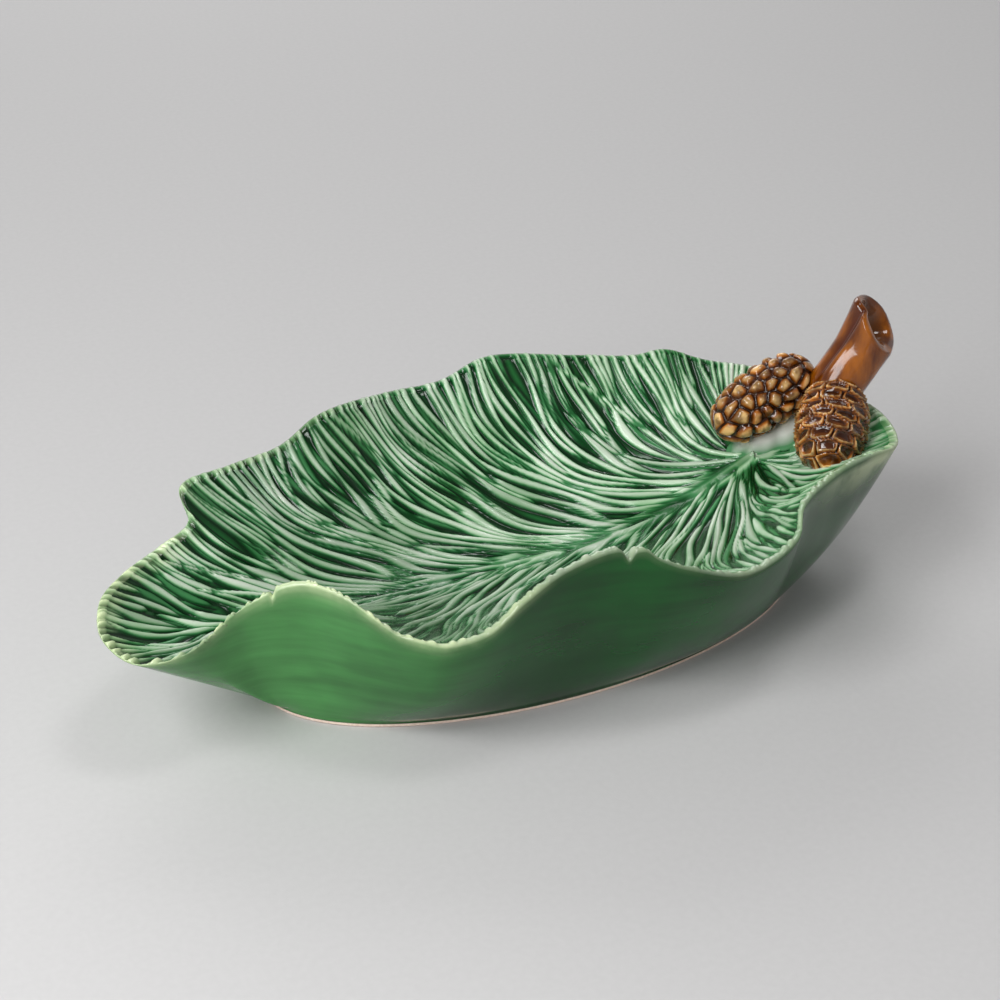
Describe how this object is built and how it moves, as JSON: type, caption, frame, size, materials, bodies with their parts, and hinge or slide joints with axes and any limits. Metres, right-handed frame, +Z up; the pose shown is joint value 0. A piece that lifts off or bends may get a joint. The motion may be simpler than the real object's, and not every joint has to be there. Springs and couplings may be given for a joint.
{
  "type": "serving platter",
  "caption": "Ruffled leaf-shaped glazed ceramic serving platter with needle relief inside, pine cones and a cut-branch handle at the stem end, on a bare foot ring.",
  "frame": {"origin": "middle of the overall box, on the table", "axes": "+X along the bough from its tip to the cut branch, +Y to the far side of the picture, +Z up"},
  "size_m": [0.4034, 0.1978, 0.1282],
  "materials": {
    "green_glaze": "glossy translucent glaze, darker in the grooves",
    "bare_clay": "matt unglazed clay",
    "amber_glaze": "glossy amber glaze",
    "brown_glaze": "glossy brown glaze, darker in the grooves",
    "pale_glaze": "thin pale glaze"
  },
  "bodies": {
    "root": {"dish": "green_glaze", "foot_ring": "bare_clay", "branch_stub": "amber_glaze", "branch_slip": "pale_glaze", "pine_cone_rear": "brown_glaze", "cone_slip_rear": "pale_glaze", "pine_cone_front": "brown_glaze", "cone_slip_front": "pale_glaze"}
  },
  "joints": []
}
